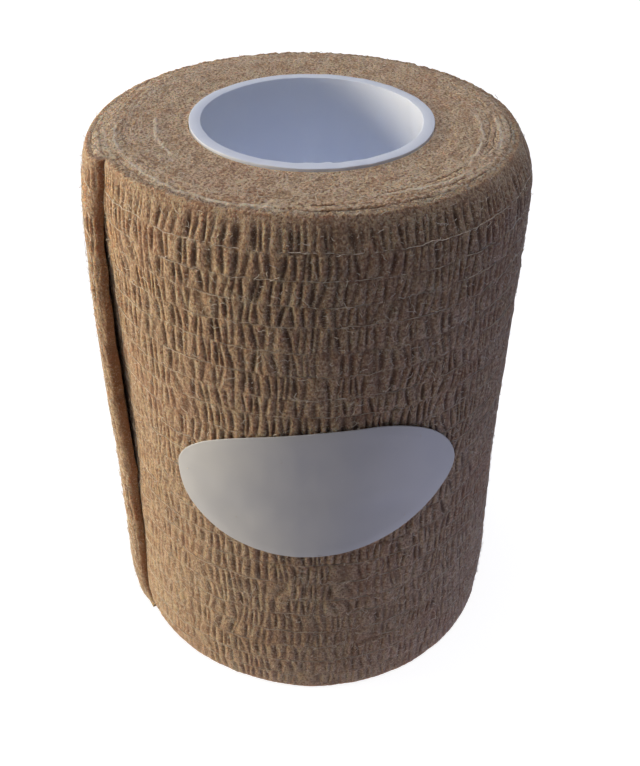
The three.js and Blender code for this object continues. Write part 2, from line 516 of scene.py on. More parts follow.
def crepe_material(name, painted_shade_colour, body, crest, grain, fleck_share, pale_share, felt_dip_shade_share):
    """Matt crepe cloth, with a felted, fibrous face. Painted shade darkens its folds and the
    felt's dips; its felt is lighter on the lumps, partly at random and partly as painted
    highlight; painted warm bounce light lies on the cut end; and pale fibres and threads, with
    painted glints and a painted highlight round the pockets, lighten it. The grain is how many
    lumps of felt there are to a millimetre, along, up and through the cloth."""
    material, tree = new_material(name)
    place = tree.mark("cloth_place", "Vector")
    hollow = tree.mark("hollow")
    # On the side the pinch mark carries the threads' pale lines and a painted highlight round the
    # pockets; on the end faces, pale dusty and rubbed lap edges
    pinch = tree.mark("pinch")
    broad = tree.noise(place, 0.09, 2.0)
    blotch = tree.noise(place, 0.45, 3.0)
    felt = tree.noise(tree.scaled(place, grain), 1.0, 2.5, 0.6)
    strand = tree.noise(tree.scaled(place, (1.6, 6.5, 4.0)), 1.0, 2.0, 0.6)
    speck = tree.noise(tree.scaled(place, (5.5, 4.5, 5.5)), 1.0, 1.0, 0.5)
    curl = tree.noise(tree.scaled(place, (1.9, 2.1, 1.9)), 1.0, 2.0, 0.6)
    curl = 1 - tree.steps((curl - 0.5).maths("ABSOLUTE"), 0.006, 0.03)
    curl = curl * tree.steps(felt + blotch * 0.6, 0.72, 0.92)
    # Body and crest tones by the felt and at random: lighter on the felt's lumps, partly as
    # painted highlight
    tint = tree.colours(body, crest, tree.steps(felt + (blotch - 0.5) * 0.5, 0.38, 0.64))
    # Painted shade in the felt's dips
    felt_dip_shade = tree.steps(0.5 - felt, 0.03, 0.14) * felt_dip_shade_share
    tint = tree.colours(tint, painted_shade_colour, felt_dip_shade)
    # Painted shade in the pockets, folds and grooves
    tint = tree.colours(tint, painted_shade_colour, tree.steps(hollow + (felt - 0.5) * 0.6, 0.1, 0.9) * 0.9)
    # Painted warm bounce light on the loose end's cut end
    tint = tree.colours(tint, CUT_PAINTED_BOUNCE, tree.mark("cut") * (0.5 + felt * 0.6))
    tint = tree.colours(tint, WARM_TINT, tree.steps(broad, 0.48, 0.7) * CLOUD_SHARE)
    tint = tree.colours(tint, GREEN_TINT, tree.steps(blotch, 0.52, 0.7) * CLOUD_SHARE)
    # Pale fibre flecks with painted glints, pale threads with a painted highlight round the
    # pockets, and curled fibres
    fleck = tree.steps(strand, 0.62, 0.74) * fleck_share + tree.steps(speck, 0.64, 0.74) * 0.4
    light = fleck + pinch * pale_share + curl * 0.6
    pale_and_highlit = tree.colours(tint, PALE_AND_HIGHLIGHT_TINT, tree.steps(light, 0.0, 1.0))
    height = felt * 0.7 + strand * 0.3 + curl * 0.15
    surface(
        tree,
        Base_Color=pale_and_highlit,
        Roughness=0.92 - fleck * 0.2,
        Normal=tree.bump(height, 1.0, FELT_THICKNESS),
        Specular_IOR_Level=0.25,
        Sheen_Weight=0.2,
        Sheen_Roughness=0.5,
        Sheen_Tint=rgb(235, 215, 190),
        Subsurface_Weight=0.75,
        Subsurface_Radius=(1.0, 0.6, 0.32),
        Subsurface_Scale=1.3 * MM,
    )
    return material


def plain_fibre_material(name, colour, roughness):
    """Fine bare strands that catch the light."""
    material, tree = new_material(name)
    shade = tree.noise(tree.object_place(), 900.0, 1.0)
    darker = (*[part * 0.62 for part in colour[:3]], 1.0)
    surface(
        tree,
        Base_Color=tree.colours(darker, colour, tree.steps(shade, 0.35, 0.65)),
        Roughness=roughness,
        Specular_IOR_Level=0.4,
    )
    return material


def core_material():
    """White moulded plastic with faint drawn lines along the bore."""
    material, tree = new_material("core_plastic_finish")
    place = tree.object_place()
    drawn = tree.noise(tree.scaled(place, (900.0, 900.0, 14.0)), 1.0, 2.0)
    cloud = tree.noise(place, 60.0, 3.0)
    surface(
        tree,
        Base_Color=tree.colours(*CORE_TINTS, tree.steps(cloud, 0.35, 0.7)),
        Roughness=0.38 + cloud * 0.12,
        Normal=tree.bump(drawn, 0.25, 0.02),
        Specular_IOR_Level=0.45,
        Subsurface_Weight=0.15,
        Subsurface_Radius=(1.0, 0.9, 0.8),
        Subsurface_Scale=1.0 * MM,
    )
    return material


def label_material():
    """Bare satin film with a faint pearly unevenness."""
    material, tree = new_material("label_film_finish")
    place = tree.object_place()
    cloud = tree.noise(place, 110.0, 3.0)
    grain = tree.noise(place, 2600.0, 2.0)
    surface(
        tree,
        Base_Color=tree.colours(*LABEL_TINTS, tree.steps(cloud, 0.35, 0.7)),
        Roughness=0.34 + cloud * 0.1,
        Normal=tree.bump(grain, 0.15, 0.02),
        Specular_IOR_Level=0.32,
        Coat_Weight=0.06,
        Coat_Roughness=0.25,
    )
    return material


# Painted warm bounce light for the cut end
CUT_PAINTED_BOUNCE = rgb(160, 108, 64)
WARM_TINT = rgb(168, 106, 84)
GREEN_TINT = rgb(142, 128, 90)
# Tint of pale fibres and threads, also used for painted glints and a painted highlight round the
# pockets
PALE_AND_HIGHLIGHT_TINT = rgb(226, 208, 182)
CLOUD_SHARE = 0.14
FELT_THICKNESS = 0.34
CORE_TINTS = (rgb(238, 243, 252), rgb(230, 236, 248))
LABEL_TINTS = (rgb(198, 197, 197), rgb(191, 191, 194))
# Each cloth's colours: painted shade, body, and a lighter crest tone that is partly painted
# highlight
SIDE_CREPE = crepe_material(
    "crepe_side",
    painted_shade_colour=rgb(88, 59, 38),
    body=rgb(152, 121, 95),
    crest=rgb(192, 163, 132),
    grain=(3.4, 2.6, 3.4),
    fleck_share=0.6,
    pale_share=0.35,
    felt_dip_shade_share=0.35,
)
EDGE_CREPE = crepe_material(
    "crepe_edges",
    painted_shade_colour=rgb(92, 66, 47),
    body=rgb(168, 137, 108),
    crest=rgb(222, 194, 162),
    grain=(2.3, 3.0, 2.6),
    fleck_share=0.8,
    pale_share=0.9,
    felt_dip_shade_share=0.5,
)
THREAD_FINISH = plain_fibre_material("thread_finish", rgb(226, 208, 184), 0.6)
FIBRE_FINISH = plain_fibre_material("fibre_finish", rgb(240, 226, 204), 0.5)
CORE_FINISH = core_material()
LABEL_FINISH = label_material()


# The wound cloth's side, over its top and foot lips

# Where the lengths of the side meet, by the angle turned
FRONT_START = 40
BACK_START = 152
REAR_LEFT_START = 235

COLUMN_STEP = 0.135
ROW_SHARES = (0.0, 0.08, 0.25, 0.5, 0.75, 0.92)
LIP_THICKNESS = 1.1
LIP_RISE = 0.22
LIP_DROP = 0.9
LIP_STEPS = 7
SWELL_HEIGHT = 0.12

# Share of the crepe's depth that is left in the top row, the foot row and the low rows
TOP_ROW_LEFT = 0.12
FOOT_ROW_LEFT = 0.5
LOW_ROWS_LEFT = 0.82
LOW_ROWS_HEIGHT = 30

# Share of it lost by the cut edge, low down and high up, and over what heights and angles
LOST_LOW = 0.4
LOST_HIGH = 0.05
LOST_HEIGHTS = (45, 65)
LOST_FROM_EDGE = (57, 12)


def side_lines():
    """The lines of the side's grid from the foot up, each by how many rows up it lies."""
    rows_up = np.concatenate([row + np.array(ROW_SHARES) for row in range(ROW_COUNT)])
    return np.append(rows_up, ROW_COUNT)


SIDE_LINES = side_lines()


def crepe_fade(turned, rows_up, height):
    """Share of the crepe's depth that is left: less at the top and foot and by the cut edge."""
    top = between(TOP_ROW_LEFT, 1, ramp(ROW_COUNT - rows_up, 0.08, 0.48))
    foot = between(FOOT_ROW_LEFT, 1, ramp(rows_up, 0, 0.8))
    foot = foot * between(LOW_ROWS_LEFT, 1, ramp(height, 0, LOW_ROWS_HEIGHT))
    by_edge = ramp(from_cut_edge(turned), *LOST_FROM_EDGE)
    return top * foot * (1 - by_edge * between(LOST_LOW, LOST_HIGH, ramp(height, *LOST_HEIGHTS)))


def cloth_swell(along, rows_up, height):
    """Broad, shallow swells of the last lap, which die out under its top edge."""
    under_edge = ramp(ROW_COUNT - rows_up, 0, 1.5)
    return SWELL_HEIGHT * soft_noise(along / 12, height / 9, 31) * under_edge


def cloth_section(turned):
    """Points of the last lap's outer face in columns round the roll, with its marks."""
    along = arc_length(turned)[:, None]
    rows_up = SIDE_LINES[None, :] + 0 * along
    height = np.interp(rows_up, np.arange(ROW_COUNT + 1), THREAD_HEIGHTS)
    height = height + thread_sway(along, rows_up)
    relief, hollow, pinch = crepe(along, rows_up)
    fade = crepe_fade(turned[:, None], rows_up, height)
    out = outer_radius(turned[:, None], height)
    tilt = np.arctan(-np.gradient(out, axis=1) / np.gradient(height, axis=1))
    push = relief * fade + cloth_swell(along, rows_up, height)
    radius = out + push * np.cos(tilt)
    height = height + push * np.sin(tilt)
    return radius, height, {"hollow": hollow * fade, "pinch": pinch * fade}


def lip_lines(radius, height, up):
    """Rounds a lap's cut edge over from its outer face: the points that follow it, inwards."""
    angles = np.linspace(0, math.pi, LIP_STEPS)[1:]
    half = LIP_THICKNESS / 2
    inner = radius[:, None] - half + half * np.cos(angles)[None, :]
    rise = height[:, None] + up * LIP_RISE * np.sqrt(np.abs(np.sin(angles)))[None, :]
    return inner, rise


def tucked_lip(radius, height, up):
    """A rounded cut edge whose inner side goes down into the roll."""
    inner, rise = lip_lines(radius, height, up)
    inner = np.append(inner, inner[:, -1:], axis=1)
    rise = np.append(rise, rise[:, -1:] - up * LIP_DROP, axis=1)
    return inner, rise


def lipped_section(turned):
    """The outer face with its foot lip before it and its frayed top lip after it."""
    radius, height, marks = cloth_section(turned)
    along = arc_length(turned)[:, None]
    top_radius, top_height = tucked_lip(radius[:, -1], height[:, -1], 1)
    foot_radius, foot_height = tucked_lip(radius[:, 0], height[:, 0], -1)
    lips = top_radius.shape[1]
    steps = np.arange(lips)[None, :]
    fray = 0.1 * soft_noise(along / 0.7, steps / 3, 32)
    fray = fray + 0.07 * soft_noise(along / 0.3, steps / 2, 33)
    top_height = top_height + fray
    top_radius = top_radius - 0.5 * fray
    radius = np.concatenate([foot_radius[:, ::-1], radius, top_radius], axis=1)
    height = np.concatenate([foot_height[:, ::-1], height, top_height], axis=1)
    beyond = ((0, 0), (lips, lips))
    marks = {mark: np.pad(values, beyond, mode="edge") for mark, values in marks.items()}
    return radius, height, marks


def cloth_marks(turned, radius, height, marks):
    """Adds each point's place along, up and through the cloth, for the weave's texture."""
    along = arc_length(turned)[:, None] + 0 * radius
    return {**marks, "cloth_place": np.stack([along, height, radius], axis=-1)}


def make_side(name, start, end):
    """One length of the wound cloth's side."""
    columns = int(arc_length(end - start) / COLUMN_STEP) + 1
    turned = np.linspace(start, end, columns)
    radius, height, marks = lipped_section(turned)
    points = on_roll(turned[:, None], radius, height)
    faces = grid_faces(columns, radius.shape[1])
    marks = cloth_marks(turned, radius, height, marks)
    piece = make_mesh(name, points, faces, SIDE_CREPE, marks)
    return finish_piece(piece, "crepe_cloth", "bandage_roll")


# The loose end

# Rounding of the cut edge: its reach, its depth on the outer and inner face, its columns
EDGE_ROUND = 2.2
EDGE_DROP = 1.4
INNER_EDGE_DROP = 0.1
EDGE_STEP = 0.08

# The inner face: where the sheet thickens to close on the roll, by how much, its ripple, and the
# painted shade on it
SHUT_TOP = (66, 71)
SHUT_FOOT = (7, 2)
SHUT_THICKENING = 0.1
INNER_RIPPLE = 0.12
INNER_PAINTED_SHADE = 0.1

# The cut edge: how far its bare end, painted with warm bounce light, reaches in, and how its foot
# juts out and lifts
CUT_REACH = 0.5
FOOT_JUT = 0.8
FOOT_JUT_HEIGHT = 10
FOOT_CORNER_LIFT = 0.5
FOOT_CORNER_HEIGHT = 5
UNEVEN_START = 352
CORNER_START = 355


def loose_columns():
    """The loose end's columns from its root on, closer together where its edge is rounded."""
    fine_start = 360 - turn_of(EDGE_ROUND)
    coarse = np.linspace(ROOT_TURNED, fine_start, int(arc_length(LOOSE_SPAN) / COLUMN_STEP))
    fine = np.linspace(fine_start, 360, int(EDGE_ROUND / EDGE_STEP) + 1)[1:]
    return np.concatenate([coarse, fine])


def loose_section(turned):
    """Each column as a ring of points: up the outer face, over the top, down the inner face
    and round the foot. The marks are those of the outer face."""
    radius, height, marks = cloth_section(turned)
    top_radius, top_height = lip_lines(radius[:, -1], height[:, -1], 1)
    foot_radius, foot_height = lip_lines(radius[:, 0], height[:, 0], -1)
    ripple = INNER_RIPPLE * soft_noise(arc_length(turned)[:, None] / 1.1, height / 2.4, 41)
    shut = np.maximum(ramp(height, *SHUT_TOP), ramp(height, *SHUT_FOOT))
    thickness = CLOTH_THICKNESS + SHUT_THICKENING * shut
    inner_radius = outer_radius(turned[:, None], height) - thickness + ripple
    blunt = np.clip(1 - (360 - turned[:, None]) / turn_of(EDGE_ROUND), 0, 1)
    rounding = EDGE_DROP * (1 - np.sqrt(1 - blunt**2))
    outer = np.concatenate([radius, top_radius[:, :-1]], axis=1) - rounding
    inner_radius = inner_radius + INNER_EDGE_DROP * rounding
    radius = np.concatenate([outer, inner_radius[:, ::-1], foot_radius[:, -2::-1]], axis=1)
    inner_height = np.concatenate([height[:, ::-1], foot_height[:, -2::-1]], axis=1)
    height = np.concatenate([height, top_height[:, :-1], inner_height], axis=1)
    return radius, height, marks


def loose_marks(turned, marks, count):
    """The outer face's marks carried on round the ring, with painted shade on the inner face, and
    cleared where the end is cut, which is painted with warm bounce light instead.
    """
    beyond = ((0, 0), (0, count - len(SIDE_LINES)))
    hollow = np.pad(marks["hollow"], beyond, constant_values=INNER_PAINTED_SHADE)
    pinch = np.pad(marks["pinch"], beyond, constant_values=0)
    cut = ramp(turned, 360 - turn_of(CUT_REACH), 360) + 0 * hollow
    return {"hollow": hollow * (1 - cut), "pinch": pinch * (1 - cut), "cut": cut}


def uneven_cut(turned, height):
    """Lets the cut edge wander, and its foot jut out and lift at the corner."""
    wander = 0.4 * soft_noise(height / 6, 0, 42) + 0.22 * soft_noise(height / 1.6, 0, 43)
    wander = wander + FOOT_JUT * ramp(height, FOOT_JUT_HEIGHT, 0)
    corner = ramp(turned, CORNER_START, 360) * ramp(height, FOOT_CORNER_HEIGHT, 0)
    moved = turned + turn_of(wander) * ramp(turned, UNEVEN_START, 360)
    return moved, height + FOOT_CORNER_LIFT * corner


def cap_faces(ring, flipped):
    """Closes a section of the sheet by joining its outer face's points to its inner ones."""
    count = len(ring)
    steps = np.arange(-1, count // 2 - 1)
    up = ring[(len(SIDE_LINES) - 1 - steps) % count]
    down = ring[(len(SIDE_LINES) + 1 + steps) % count]
    quads = np.stack([up[:-1], up[1:], down[1:], down[:-1]], axis=-1)
    return quads[:, ::-1] if flipped else quads


def make_loose_end(name):
    """The last of the outer lap as a closed sheet, from its root to the cut edge."""
    turned = loose_columns()
    radius, height, marks = loose_section(turned)
    columns, count = radius.shape
    marks = loose_marks(turned[:, None], marks, count)
    moved, height = uneven_cut(turned[:, None], height)
    points = on_roll(moved, radius, height)
    first = np.arange(count)
    last = (columns - 1) * count + first
    caps = [cap_faces(first, True), cap_faces(last, False)]
    faces = np.concatenate([grid_faces(columns, count, wrap_rows=True), *caps])
    marks = cloth_marks(turned, radius, height, marks)
    piece = make_mesh(name, points, faces, SIDE_CREPE, marks)
    return finish_piece(piece, "crepe_cloth", "loose_end")


# The ends of the roll, where the laps show edge on

TOP_COLUMNS = 640
TOP_RINGS = 86
FOOT_COLUMNS = 300
FOOT_RINGS = 34
TIGHT_PITCH = 0.58
SLACK_PITCH = 0.45
SLACK_START = 2.2
SLACK_REACH = 2.6
EDGE_GRAIN = 1.2
CORE_GAP = 0.12
CORE_CALM = 0.8
FOOT_LEVEL = 0.15
RIM_SINK = 1.2
EDGE_STEP_TURNED = (357, 360)

# The laps lie tight inside the first radius and slack outside the second, most of all at
# the azimuth where they part
SLACK_RADII = (19.0, 22.5)
PARTED_AZIMUTH = 300

# Depths of the grooves between tight laps and slack ones, and of the nicks, grains and crumbs
TIGHT_GROOVE = 0.03
SLACK_GROOVE = 0.2
NICK_DEPTH = 0.05
GRAIN_HEIGHT = 0.03
LAP_HEIGHT = 0.03
COARSE_CRUMB = 0.055
FINE_CRUMB = 0.035
PALE_ARC_WIDTH = 0.2
PALE_ARC_RISE = 0.07

# Rubbed edges of slack laps on the end faces: start and end azimuth, start and end radius
PALE_ARCS = (
    (176, 238, 23.4, 23.8),
    (174, 218, 18.6, 19.0),
    (226, 262, 23.9, 23.2),
    (284, 322, 21.1, 22.7),
    (318, 370, 21.3, 19.7),
    (334, 362, 23.0, 22.1),
)


def lap_count(radius, turned):
    """How many laps lie outside a point of the end face, from the cut edge's lap."""
    inwards = np.linspace(-3, START_RADIUS - CORE_RADIUS + 1, 400)
    slack = np.exp(-np.maximum(inwards - SLACK_START, 0) / SLACK_REACH)
    pitch = TIGHT_PITCH + SLACK_PITCH * slack
    laps = np.cumsum(1 / pitch) * (inwards[1] - inwards[0])
    laps = laps - np.interp(0, inwards, laps)
    return turned / 360 + np.interp(START_RADIUS - radius, inwards, laps)


def rim_radius(turned, height):
    """Outer radius of the last lap at an end face, which steps in at the cut edge."""
    stepped = ramp(turned, *EDGE_STEP_TURNED)
    return between(outer_radius(turned, height), outer_radius(0, height), stepped)


def pale_arcs(turned, radius):
    """Where the rubbed, pale edges of slack laps lie."""
    along = arc_length(turned)
    wobble = 0.15 * soft_noise(along / 1.6, 0, 64)
    broken = 0.7 + 0.3 * soft_noise(along / 0.5, radius / 0.4, 65)
    pale = 0
    for start, end, start_radius, end_radius in PALE_ARCS:
        share = ((EDGE_AZIMUTH + turned - start) % 360) / (end - start)
        middle = between(start_radius, end_radius, share) + wobble
        ends = ease(share * 6) * ease((1 - share) * 6)
        pale = np.maximum(pale, ends * bell(radius - middle, PALE_ARC_WIDTH))
    return pale * broken


def lap_edges(turned, radius):
    """Relief of the laps' edges: grooves between laps, broken up into grains. Also the painted
    shade in the grooves and nicks, and how pale each point is."""
    along = arc_length(turned)
    slack = ramp(radius, *SLACK_RADII)
    warp = 0.2 * soft_noise(along / 0.8, radius / 0.9, 51) * between(1, 0.4, slack)
    warp = warp + 0.12 * soft_noise(along / 2.5, radius / 2, 52)
    laps = lap_count(radius + warp, turned)
    lap = np.floor(laps)
    share = laps - lap
    total = arc_length(turned - 360 * lap) / EDGE_GRAIN
    phase = total + 0.8 * scatter(lap, 0, 53) + 0.35 * soft_noise(total / 3, lap * 1.0, 54)
    cell = np.floor(phase)
    from_nick = phase - cell - 0.5 + 0.4 * (scatter(cell, lap, 55) - 0.5)
    nick = NICK_DEPTH * scatter(cell, lap, 56) * bell(from_nick, 0.16)
    patchy = np.maximum(0.5 + 0.65 * soft_noise(along / 4.5, laps, 57), 0)
    from_parted = np.radians(EDGE_AZIMUTH + turned - PARTED_AZIMUTH)
    patchy = patchy * (0.6 + 0.5 * np.cos(from_parted))
    groove = bell(np.minimum(share, 1 - share), between(0.15, 0.11, slack)) * patchy
    groove = groove * between(TIGHT_GROOVE, SLACK_GROOVE, slack)
    grain = GRAIN_HEIGHT * (2 * scatter(cell, lap, 58) - 1) * between(1, 0.5, slack)
    lap_height = LAP_HEIGHT * (2 * scatter(lap, 1, 59) - 1)
    crumb = COARSE_CRUMB * soft_noise(along / 0.42, radius / 0.36, 60)
    crumb = crumb + FINE_CRUMB * soft_noise(along / 0.26, radius / 0.22, 61)
    relief = grain + lap_height + crumb - groove - nick
    # Painted shade in the grooves and nicks between laps
    hollow = np.clip((groove + nick) / SLACK_GROOVE, 0, 1) * 0.9
    dusty = soft_noise(total / 9, lap * 1.0, 62) + 0.25 * soft_noise(total / 0.7, laps, 63)
    pale = 0.5 * np.maximum(dusty, 0) * bell(share - 0.55, 0.3) * between(0.25, 1, slack)
    arcs = pale_arcs(turned, radius)
    return relief + PALE_ARC_RISE * arcs, hollow * (1 - arcs), np.maximum(pale, 1.2 * arcs)


def end_face(name, columns, rings, is_top):
    """One end of the roll, from the core's wall to under the last lap's lip."""
    turned = np.linspace(0, 360, columns, endpoint=False)[:, None]
    bore = CORE_RADIUS + CORE_GAP
    rim = rim_radius(turned, ROWS_TOP if is_top else ROWS_FOOT)
    radius = between(bore, rim - END_INSET, np.linspace(0, 1, rings)[None, :])
    relief, hollow, pale = lap_edges(turned, radius)
    calm = ramp(radius, bore, bore + CORE_CALM)
    if is_top:
        height = look_up(TOP_PROFILE, rim - radius) + relief * calm
        sink = RIM_SINK
    else:
        height = FOOT_LEVEL - 0.5 * np.minimum(relief, 0.2) * calm
        sink = -RIM_SINK
    radius = np.concatenate([radius[:, :1], radius, radius[:, -1:]], axis=1)
    height = np.concatenate([height[:, :1] - sink, height, height[:, -1:] - sink], axis=1)
    hollow = np.pad(hollow, ((0, 0), (1, 1)), mode="edge")
    pale = np.pad(pale, ((0, 0), (1, 1)), mode="edge")
    points = on_roll(turned, radius, height)
    faces = grid_faces(columns, rings + 2, wrap_columns=True)
    if is_top:
        faces = faces[:, ::-1]
    place = np.stack([arc_length(turned) + 0 * radius, radius, height], axis=-1)
    marks = {"hollow": hollow, "pinch": pale, "cloth_place": place}
    piece = make_mesh(name, points, faces, EDGE_CREPE, marks)
    return finish_piece(piece, "crepe_cloth", "bandage_roll")


# The winding core

CORE_COLUMNS = 220
CORE_EDGE_ROUND = 0.08
CORE_EDGE_STEPS = 4
BURR_TURNED = (55, 78)
BURR_TAPER = 6
BURR_DEPTH = 0.3


def core_outline():
    """The wall's section as a closed loop, anticlockwise with outwards to the right. Each
    corner has the middle of its rounding, and the angle that the rounding starts at."""
    inner = CORE_RADIUS - CORE_WALL
    soft = CORE_EDGE_ROUND
    corners = (
        (CORE_RADIUS - soft, soft, -90),
        (CORE_RADIUS - soft, CORE_TOP - soft, 0),
        (inner + soft, CORE_TOP - soft, 90),
        (inner + soft, soft, 180),
    )
    outline = []
    for radius, height, angle in corners:
        for step in range(CORE_EDGE_STEPS + 1):
            turn = math.radians(angle + 90 * step / CORE_EDGE_STEPS)
            outline.append((radius + soft * math.cos(turn), height + soft * math.sin(turn)))
    return np.array(outline)


def make_core():
    """The plastic core, its top rim sawn a little unevenly, with a burr inside that rim at the
    front.
    """
    outline = core_outline()
    turned = np.linspace(0, 360, CORE_COLUMNS, endpoint=False)[:, None]
    radius = outline[None, :, 0] + 0 * turned
    height = outline[None, :, 1] + 0 * turned
    wave = 0.05 * soft_noise(turned / 24, 0, 71) + 0.03 * soft_noise(turned / 5, 0, 72)
    at_top = height > CORE_TOP / 2
    height = height + np.where(at_top, wave, 0)
    start, end = BURR_TURNED
    burr = ramp(turned, start, start + BURR_TAPER) * ramp(turned, end, end - BURR_TAPER)
    inside = at_top & (radius < CORE_RADIUS - CORE_WALL + CORE_EDGE_ROUND)
    ragged = 0.6 + 0.4 * soft_noise(turned / 1.5, 0, 73)
    radius = radius - np.where(inside, BURR_DEPTH * burr * ragged, 0)
    points = on_roll(turned, radius, height)
    faces = grid_faces(CORE_COLUMNS, len(outline), wrap_columns=True, wrap_rows=True)
    piece = make_mesh("winding_core", points, faces, CORE_FINISH)
    return finish_piece(piece, "core_plastic", "core_tube")


# The label

LABEL_AZIMUTH = 270.7
LABEL_HEIGHT = 38.4
LABEL_HALF_WIDTH = 18.6
LABEL_STANDOFF = 0.16
LABEL_THICKNESS = 0.12
LABEL_POINTS = 60
LABEL_EDGE_DIP = 0.06

# Rings from near the middle to the edge, as shares of the outline, and the bulge of the rim
LABEL_RINGS = 26
LABEL_RING_SHARES = (0.04, 0.99)
LABEL_RING_CROWDING = 0.8
LABEL_RIM_SHARE = 1.0015

# Quarter curves of the label's outline: side, rise, lean, tip pull, crown pull
LABEL_QUARTERS = (
    (1, 9.9, 5.4, 0.32, 0.62),
    (-1, 9.9, 5.4, 0.34, 0.73),
    (-1, -10.8, -1.8, 0.6, 0.62),
    (1, -10.8, -1.8, 0.4, 0.5),
)


def label_outline():
    """The label's outline laid flat, anticlockwise from its right tip."""
    outline = []
    for index, (side, rise, lean, tip_pull, crown_pull) in enumerate(LABEL_QUARTERS):
        tip = np.array([side * LABEL_HALF_WIDTH, 0])
        near = np.array([tip[0], rise * tip_pull])
        far = np.array([lean + (tip[0] - lean) * crown_pull, rise])
        crown = np.array([lean, rise])
        curve = np.array([tip, near, far, crown])
        if index % 2:
            curve = curve[::-1]
        share = np.linspace(0, 1, LABEL_POINTS, endpoint=False)[:, None]
        rest = 1 - share
        weights = (rest**3, 3 * share * rest**2, 3 * share**2 * rest, share**3)
        outline.append(sum(weight * point for weight, point in zip(weights, curve)))
    return np.concatenate(outline)


def make_label():
    """The film label, which rides on the ridges and dips a little at its edge."""
    outline = label_outline()
    count = len(outline)
    out_share = np.linspace(*LABEL_RING_SHARES, LABEL_RINGS - 1) ** LABEL_RING_CROWDING
    out_share = np.append(out_share, 1)
    rim_share = np.array([LABEL_RIM_SHARE, LABEL_RIM_SHARE])
    shares = np.concatenate([out_share, rim_share, out_share[::-1]])
    through = np.concatenate([np.ones(LABEL_RINGS), [0.7, 0.3], np.zeros(LABEL_RINGS)])
    across = outline[:, :1] * shares[None, :]
    up = outline[:, 1:] * shares[None, :]
    label_turned = LABEL_AZIMUTH - EDGE_AZIMUTH
    turned = label_turned + np.degrees(across / lap_radius(label_turned))
    height = LABEL_HEIGHT + up
    swell = 0.07 * soft_noise(across / 5, up / 4, 81)
    swell = swell + 0.02 * soft_noise(across / 1.3, up / 2.6, 82)
    dip = LABEL_EDGE_DIP * ramp(shares[None, :], 0.9, 1)
    standoff = LABEL_STANDOFF + swell - dip + through[None, :] * LABEL_THICKNESS
    points = on_roll(turned, outer_radius(turned, height) + standoff, height)
    middles = points[:, [0, -1]].mean(axis=0)
    points = np.concatenate([points.reshape(-1, 3), middles])
    rings = len(shares)
    faces = grid_faces(count, rings, wrap_columns=True)[:, ::-1].tolist()
    outer = np.arange(count) * rings
    faces += middle_faces(outer, count * rings)
    faces += middle_faces((outer + rings - 1)[::-1], count * rings + 1)
    piece = make_mesh("label_patch", points, faces, LABEL_FINISH)
    return finish_piece(piece, "label_film", "label")


def middle_faces(around, middle):
    """Triangles from a ring of points to the one in its middle."""
    after = np.roll(around, -1)
    return np.stack([around, after, 0 * around + middle], axis=-1).tolist()


# Threads and loose fibres

THREAD_RADIUS = 0.05
THREAD_STEP = 0.42
THREAD_TURNED = (-6, 360.5)

# Over how many points a thread bridges the relief, its wander, and how proud of it it lies
THREAD_BRIDGE = 5
THREAD_WANDER = 0.13
THREAD_PROUD = 0.01
THREAD_PROUD_SPREAD = 0.12

# Loose fibres: how many to a square metre, and the spread of their lengths
FIBRE_DENSITY = 390000.0
FIBRE_LENGTH = 0.75
FIBRE_SCALES = (0.35, 1.6)
FIBRE_POINTS = 6
FIBRE_RADIUS = 0.03
FIBRE_BEND = 1.1
FIBRE_SEED = 5
TUBE_SIDES = 3

# The skin that carries the fibres: the side's heights, and how far in it runs over the top
SKIN_COLUMNS = 121
SKIN_ROWS = 40
SKIN_RINGS = 12
SKIN_HEIGHTS = (3, 74.5)
SKIN_INWARDS = (0.5, 5.0)
SKIN_LIFT = 0.05


def add_input(group, name, kind):
    """Gives a group an input, and returns the identifier that sets it."""
    return group.interface.new_socket(name, in_out="INPUT", socket_type=kind).identifier


def new_group(name):
    """An empty Geometry Nodes group with its geometry in and out."""
    group = bpy.data.node_groups.new(name, "GeometryNodeTree")
    add_input(group, "Geometry", "NodeSocketGeometry")
    group.interface.new_socket("Geometry", in_out="OUTPUT", socket_type="NodeSocketGeometry")
    return group, Tree(group.nodes, group.links)


def close_group(tree, geometry, material):
    """Ends a group with plain meshes that have their material."""
    smooth = tree.value("GeometryNodeSetShadeSmooth", {}, {"Geometry": geometry})
    real = tree.value("GeometryNodeRealizeInstances", {}, {"Geometry": smooth})
    done = tree.value("GeometryNodeSetMaterial", {}, {"Geometry": real, "Material": material})
    tree.node("NodeGroupOutput", {}, {"Geometry": done})


def tube_group():
    """Tubes of a given radius along the edges of a mesh."""
    group, tree = new_group("tubes_on_lines")
    keys = {"Radius": add_input(group, "Radius", "NodeSocketFloat")}
    source = tree.node("NodeGroupInput")
    radius = Socket(tree, source.outputs["Radius"])
    curve = tree.value("GeometryNodeMeshToCurve", {}, {"Mesh": Socket(tree, source.outputs[0])})
    close_group(tree, tree.tubes(curve, radius), THREAD_FINISH)
    return group, keys


